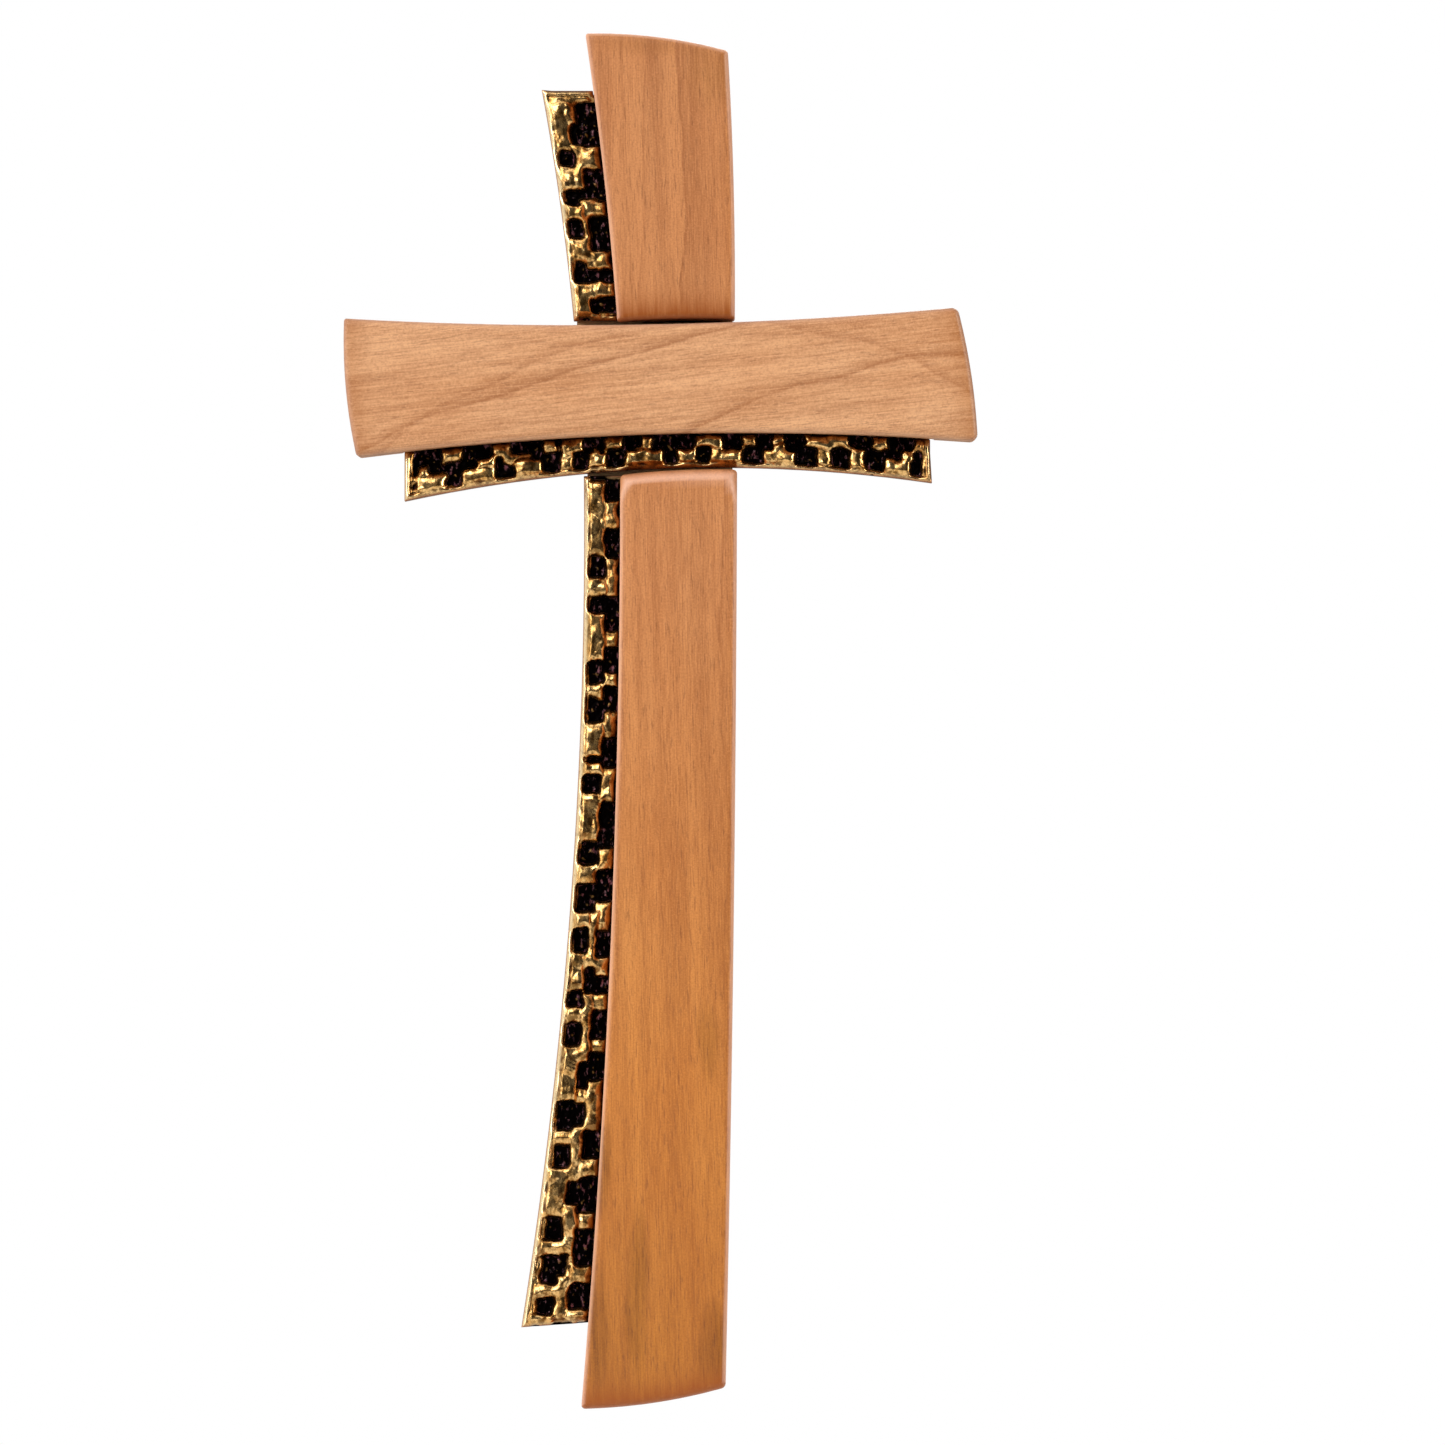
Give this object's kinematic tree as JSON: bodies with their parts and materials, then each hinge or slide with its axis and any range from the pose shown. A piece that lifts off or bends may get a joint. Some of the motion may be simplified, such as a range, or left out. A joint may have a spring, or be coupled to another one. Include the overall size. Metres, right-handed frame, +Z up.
{
  "type": "wall cross",
  "caption": "Wall cross with a bowed crossbar and two shaft panels in wood, cast bronze relief strips beside and below them, and a keyhole plate on the back.",
  "frame": {"origin": "centre of the keyhole's round hole, on the plane of the wall", "axes": "+Z up along the upright, +X to the right along the crossbar seen from the front, -Y out of the decorated front, +Y into the wall"},
  "size_m": [0.138, 0.0185, 0.2998],
  "materials": {
    "crossbar_wood": "satin oiled pear wood, light tan",
    "shaft_wood": "satin oiled cherry wood, warm orange brown",
    "relief_bronze": "cast bronze, hand chased and polished on the raised faces, dark patina in the sunk cells",
    "batten_wood": "plain sanded beech",
    "dowel_wood": "plain beech dowel",
    "screw_steel": "zinc-plated steel",
    "plate_steel": "zinc-plated pressed steel"
  },
  "bodies": {
    "root": {"crossbar_panel": "crossbar_wood", "upper_shaft_panel": "shaft_wood", "lower_shaft_panel": "shaft_wood", "crossbar_relief": "relief_bronze", "upper_relief": "relief_bronze", "lower_relief": "relief_bronze", "upright_batten": "batten_wood", "crossbar_batten": "batten_wood", "panel_dowels": "dowel_wood", "lap_dowels": "dowel_wood", "relief_screws": "screw_steel", "hanger_plate": "plate_steel", "hanger_screws": "screw_steel"}
  },
  "joints": []
}
